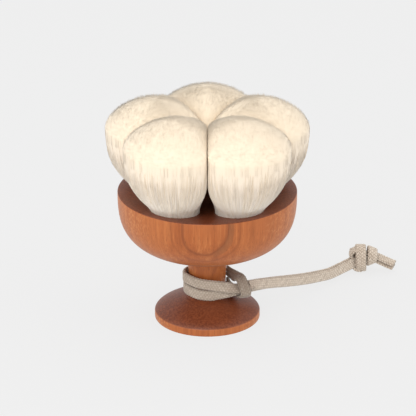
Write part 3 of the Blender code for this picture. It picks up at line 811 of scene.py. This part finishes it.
def stadium(share, half_width, half_thickness):
    """A place on the strap's flat-sided outline and the way out from it, at a share of its girth."""
    flat = 2 * (half_width - half_thickness)
    bend = pi * half_thickness
    run = (share % 1.0) * 2 * (flat + bend)
    on_back = run >= flat + bend
    run = np.where(on_back, run - flat - bend, run)
    turn = np.clip((run - flat) / half_thickness, 0.0, pi)
    x = np.where(run < flat, flat / 2 - run, -flat / 2 - half_thickness * np.sin(turn))
    y = np.where(run < flat, half_thickness, half_thickness * np.cos(turn))
    out_x, out_y = np.where(run < flat, 0.0, -np.sin(turn)), np.where(run < flat, 1.0, np.cos(turn))
    sign = np.where(on_back, -1.0, 1.0)
    return x * sign, y * sign, out_x * sign, out_y * sign


def braid(name, places, faces, start=0.0):
    """A flat braid of flattened yarns over and under each other, along places, its face as faces.

    Every yarn is a straight six-sided tube first, one unit long per station and four units from
    its neighbour, and is then laid on its own path. The last tube is the strap's filling."""
    count = len(places)
    along = unit(np.gradient(places, axis=0))
    faces = unit(faces - along * np.sum(faces * along, axis=1)[:, None])
    across = np.cross(along, faces)
    run = np.concatenate([[0.0], np.cumsum(np.linalg.norm(np.diff(places, axis=0), axis=1))])

    bm = bmesh.new()
    for yarn in range(2 * CARRIERS + 1):
        bmesh.ops.create_circle(bm, segments=6 if yarn < 2 * CARRIERS else 12, radius=1.0,
                                matrix=Matrix.Translation((4.0 * yarn, 0.0, 0.0)))
    ring = bm.edges[:]
    for _ in range(count - 1):
        pushed = bmesh.ops.extrude_edge_only(bm, edges=ring)["geom"]
        ring = [item for item in pushed if isinstance(item, bmesh.types.BMEdge)]
        moved = [item for item in pushed if isinstance(item, bmesh.types.BMVert)]
        bmesh.ops.translate(bm, vec=(0.0, 0.0, 1.0), verts=moved)
    bmesh.ops.holes_fill(bm, edges=[edge for edge in bm.edges if edge.is_boundary], sides=0)
    mesh = bpy.data.meshes.new(name)
    bm.to_mesh(mesh)
    bm.free()

    flat = np.empty(len(mesh.vertices) * 3, np.float32)
    mesh.vertices.foreach_get("co", flat)
    flat = flat.reshape(-1, 3).astype(float)
    station = np.rint(flat[:, 2]).astype(int)
    yarn = np.rint(flat[:, 0] / 4.0).astype(int)
    side, face = flat[:, 0] - 4.0 * yarn, flat[:, 1]

    half_thickness = BRAID_THICKNESS / 2 - YARN_HALF_THICKNESS - WEAVE_DEPTH
    half_width = BRAID_WIDTH / 2 - YARN_HALF_THICKNESS - WEAVE_DEPTH
    numbers = np.arange(2 * CARRIERS)
    way = np.where(numbers < CARRIERS, 1.0, -1.0)[:, None]
    share = (numbers % CARRIERS / CARRIERS)[:, None] + way * (run + start)[None, :] / LAY_LENGTH
    x, y, out_x, out_y = stadium(share, half_width, half_thickness)
    lift = way * WEAVE_DEPTH * np.cos(share * pi * CARRIERS - pi / 4)
    x, y = x + out_x * lift, y + out_y * lift
    paths = places[None] + across[None] * x[..., None] + faces[None] * y[..., None]
    outs = unit(across[None] * out_x[..., None] + faces[None] * out_y[..., None])
    sides = unit(np.cross(unit(np.gradient(paths, axis=1)), outs))

    spots = np.empty_like(flat)
    yarns = yarn < 2 * CARRIERS
    picked = (yarn[yarns], station[yarns])
    spots[yarns] = (paths[picked] + sides[picked] * (side[yarns] * YARN_HALF_WIDTH)[:, None]
                    + outs[picked] * (face[yarns] * YARN_HALF_THICKNESS)[:, None])
    core = ~yarns
    width = np.sign(side[core]) * np.abs(side[core]) ** 0.5 * (half_width - 0.05 * MM)
    depth = np.sign(face[core]) * np.abs(face[core]) ** 0.5 * (half_thickness - 0.05 * MM)
    where = station[core]
    spots[core] = places[where] + across[where] * width[:, None] + faces[where] * depth[:, None]
    mesh.vertices.foreach_set("co", spots.astype(np.float32).ravel())

    rng = np.random.default_rng(len(name) * 31 + count)
    tones = np.append(np.clip(0.55 + rng.normal(0.0, 0.2, 2 * CARRIERS), 0.0, 1.0), 0.1)
    set_value(mesh, "tone", tones[yarn])
    lifts = np.vstack([lift / WEAVE_DEPTH, np.full((1, count), -1.0)])
    set_value(mesh, "lift", lifts[yarn, station])
    set_bake_map(mesh, (yarn + 0.45 + 0.4 * side) / (2 * CARRIERS + 1.0), station / (count - 1.0))
    bm = bmesh.new()
    bm.from_mesh(mesh)
    bmesh.ops.recalc_face_normals(bm, faces=bm.faces)
    bm.to_mesh(mesh)
    bm.free()
    mesh.shade_smooth()
    mesh.set_sharp_from_angle(angle=radians(75))
    return mesh


def linen_braid(name, painted_shade):
    """Undyed linen yarn: greige, each yarn a little different, with a fine twist in it; the second argument
    is how far the colour is pulled toward dark brown as painted shade, for cord lying in the shade by the
    stem."""
    linen = new_material(name)
    n = Nodes(linen)
    place = n.add("ShaderNodeTexCoord").outputs["Object"]
    tone = n.add("ShaderNodeAttribute", {"attribute_name": "tone"}).outputs["Fac"]
    base = n.ramp(tone, [(0.0, (0.500, 0.415, 0.330)), (0.5, (0.640, 0.545, 0.445)),
                         (1.0, (0.720, 0.625, 0.520))], 'LINEAR')
    fuzz = n.noise(place, 6500.0, 3.0, 0.6)
    patch = n.noise(place, 420.0, 3.0, 0.6)
    lift = n.add("ShaderNodeAttribute", {"attribute_name": "lift"}).outputs["Fac"]
    # painted shade: the grooves where the yarns dip and the yarns passing under are darkened toward brown by
    # lift
    shade = n.ramp(n.math('MULTIPLY_ADD', lift, 0.5, 0.5), [(0.3, 1.0), (0.6, 0.7), (0.92, 0.0)])
    base = n.mix(n.math('MULTIPLY', shade, 0.58), base, (0.200, 0.150, 0.108, 1.0))
    base = n.mix(n.ramp(fuzz, [(0.35, 0.25), (0.65, 0.0)]), base, (0.360, 0.280, 0.210, 1.0))
    base = n.mix(n.ramp(patch, [(0.40, 0.0), (0.75, 0.15)]), base, (0.760, 0.680, 0.580, 1.0))
    # painted shade: the whole colour is pulled toward dark brown by this share, for cord that lies in shade
    base = n.mix(painted_shade, base, (0.115, 0.075, 0.050, 1.0))
    n.feed(n.shader.inputs["Base Color"], base)
    n.shader.inputs["Roughness"].default_value = 0.85
    n.shader.inputs["Specular IOR Level"].default_value = 0.2
    n.shader.inputs["Sheen Weight"].default_value = 0.3
    n.shader.inputs["Sheen Roughness"].default_value = 0.5
    bump = n.add("ShaderNodeBump", Strength=0.5, Distance=0.00004, Height=fuzz)
    n.feed(n.shader.inputs["Normal"], bump.outputs[0])
    return linen


def hitch_places(rows):
    angles = np.radians([row[0] for row in rows])
    reach = STEM_RADIUS + np.array([row[1] for row in rows]) * MM
    heights = FOOT_TOP + np.array([row[2] for row in rows]) * MM
    return np.stack([np.cos(angles) * reach, np.sin(angles) * reach, heights], axis=1)


def tipped(outward, degrees):
    outward = unit(outward * (1.0, 1.0, 0.0))
    tip = np.radians(degrees)[:, None]
    return outward * np.cos(tip) + np.array([0.0, 0.0, 1.0]) * np.sin(tip)


def strap_of(name, places, faces, material, body, nodes):
    rows, run = smooth_rows(np.hstack([places, faces]), STATION_STEP)
    piece = add_piece(name, braid(name, rows[:, :3], rows[:, 3:]), body, material, nodes)
    return piece, rows[:, :3]


def build_hitch(linen, bight_shade_linen):
    """The doubled strap round the stem, and the bight that grips it."""
    for name, rows in WRAPS.items():
        places = hitch_places(rows)
        faces = tipped(places, [row[3] for row in rows])
        strap_of(name.replace("hitch", "braid"), places, faces, linen, "hitch", [name])
    faces = unit(np.array([row[3] for row in BIGHT]))
    # painted shade: the bight gets the more deeply shaded linen, as it lies in shade behind and beside the
    # stem
    strap_of("braid_bight", hitch_places(BIGHT), faces, bight_shade_linen, "hitch", ["hitch_bight"])


def exit_point():
    return Vector(hitch_places([(np.degrees(EXIT_ANGLE), EXIT_REACH / MM, EXIT_HEIGHT / MM)])[0])


def strand_rows(side):
    """One strand of the pair: places and faces, side is 1 for the front one and -1 for the other."""
    outward = STRAND_HEADING.cross(Vector((0, 0, 1)))
    exit_place = exit_point()
    places, tips = [], []
    for run, share, tip in STRAND_STATIONS:
        place = exit_place + STRAND_HEADING * run * MM
        place.z = THROAT_HEIGHT + (FOOT_TOP + EXIT_HEIGHT - THROAT_HEIGHT) * share
        places.append(place)
        tips.append(radians(tip))
    faces = [outward * cos(tip) + Vector((0, 0, sin(tip))) for tip in tips]
    along = unit(np.gradient(np.array(places), axis=0))
    faces = np.array(faces)
    faces = unit(faces - along * np.sum(faces * along, axis=1)[:, None])
    return np.array(places) + faces * side * STRAP_PITCH / 2, faces


def knot_centre():
    place = exit_point() + KNOT_FROM_EXIT
    place.z = 5.3 * MM
    return place

# The knot's turns from its centre, to the right, to the front and up in millimetres, each with
# the way its face looks.
def ring_turn(shift, front, upright, start, sweep, lean=0.0, raised=0.0, roll=0.0):
    """A turn round the knot: rows of place and face, to the right, to the front and up."""
    rows = []
    for k in range(17):
        turn = radians(start + sweep * k / 16)
        rows.append((shift + lean * sin(turn), front * cos(turn), raised + upright * sin(turn),
                     roll, cos(turn), sin(turn)))
    return rows


KNOT_TURNS = {
    "main_turn": ring_turn(-0.8, 4.1, 4.75, -170, 350, lean=-0.1, raised=0.15),
    "inner_turn": ring_turn(-0.9, 2.5, 2.9, -160, 330, raised=0.1),
    "end_turn": ring_turn(3.5, 2.9, 2.8, -150, 320, lean=0.2, raised=1.0, roll=0.4),
    "back_turn": ring_turn(-2.9, 3.2, 3.0, 95, 170, raised=0.3),
}
KNOT_LOOP = ((-1.6, 1.0, 4.1, -0.2, 0.1, 1.0), (-3.4, 1.1, 3.8, -0.6, 0.1, 0.8),
             (-4.6, 1.2, 2.3, -1.0, 0.1, 0.1), (-4.2, 1.1, 0.8, -0.8, 0.1, -0.6),
             (-2.6, 0.8, 0.1, -0.3, 0.1, -0.95))
KNOT_CURL = ((-0.6, 1.6, -4.2, 0.0, 0.2, -1.0), (-2.6, 1.6, -4.0, -0.5, 0.2, -0.85),
             (-3.7, 1.5, -2.7, -1.0, 0.1, -0.2), (-3.2, 1.3, -1.4, -0.7, 0.1, 0.7),
             (-1.8, 1.0, -1.0, 0.0, 0.1, 1.0))


def from_knot(rows):
    """Rows of the knot's own directions as places and faces."""
    basis = np.array([(1.0, 0.0, 0.0), (0.0, -1.0, 0.0), (0.0, 0.0, 1.0)])
    rows = np.array(rows)
    return np.array(knot_centre()) + rows[:, :3] @ basis * MM, unit(rows[:, 3:] @ basis)


def build_loop(linen):
    """The two strands, the knot that joins them and its tails."""
    for name, rows in KNOT_TURNS.items():
        places, faces = from_knot(rows)
        nodes = ["cord_knot"] if name == "main_turn" else ()
        strap_of("knot_" + name, places, faces, linen, "loop", nodes)[0]
    for name, rows in (("knot_side_loop", KNOT_LOOP), ("knot_under_curl", KNOT_CURL)):
        places, faces = from_knot(rows)
        strap_of(name, places, faces, linen, "loop", ())[0]
    for letter, side in (("a", 1), ("b", -1)):
        start = knot_centre() + TAIL_START
        places = np.array([start + Vector(step) * MM for step in TAIL_STATIONS])
        along = unit(np.gradient(places, axis=0))
        outward = unit(np.cross(along, (0.0, 0.0, 1.0)))
        tip = radians(TAIL_TIP)
        up = np.cross(outward, along)
        faces = outward * cos(tip) + up * sin(tip)
        places = places + faces * side * STRAP_PITCH / 2
        places = np.vstack([places[0] - along[0] * 4 * MM, places])
        faces = np.vstack([faces[:1], faces])
        (strap_of("braid_tail_" + letter, places, faces, linen, "loop",
                               ["cord_tail_" + letter])[0])
    for letter, side in (("a", 1), ("b", -1)):
        places, faces = strand_rows(side)
        back = places[0] - (places[1] - places[0]) / 3.5 * 1.6
        ahead = places[-1] + (places[-1] - places[-2]) / 5.5 * 3.0
        rows = np.hstack([np.vstack([back, places, ahead]), np.vstack([faces[:1], faces, faces[-1:]])])
        rows, run = smooth_rows(rows, STATION_STEP)
        name = "braid_strand_" + letter
        strand = bpy.data.objects.new(name, braid(name, rows[:, :3], rows[:, 3:]))
        bpy.context.scene.collection.objects.link(strand)
        strand.data.materials.append(linen)
        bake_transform(strand)
        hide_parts("cord_strand_" + letter)


# ---------------------------------------------------------------- making it

build_camera()
# painted shade: the wraps are darkened a little and the bight more, as the shade round the stem under the
# bowl
build_hitch(linen_braid("shade_painted_linen", 0.26), linen_braid("deep_shade_painted_linen", 0.52))
build_loop(linen_braid("greige_linen", 0.0))
build_studio()
build_handle(cherry_wood())
finish_roots()
long_hair = hair_material("cream_hair", 1.0)
core_hair = hair_material("cream_hair_core", 0.9, 0.42)
section = thread_section()
for number, axis in enumerate(TUFT_AXES, 1):
    build_tuft(number, axis, section, long_hair, core_hair)
bpy.data.objects.remove(section)
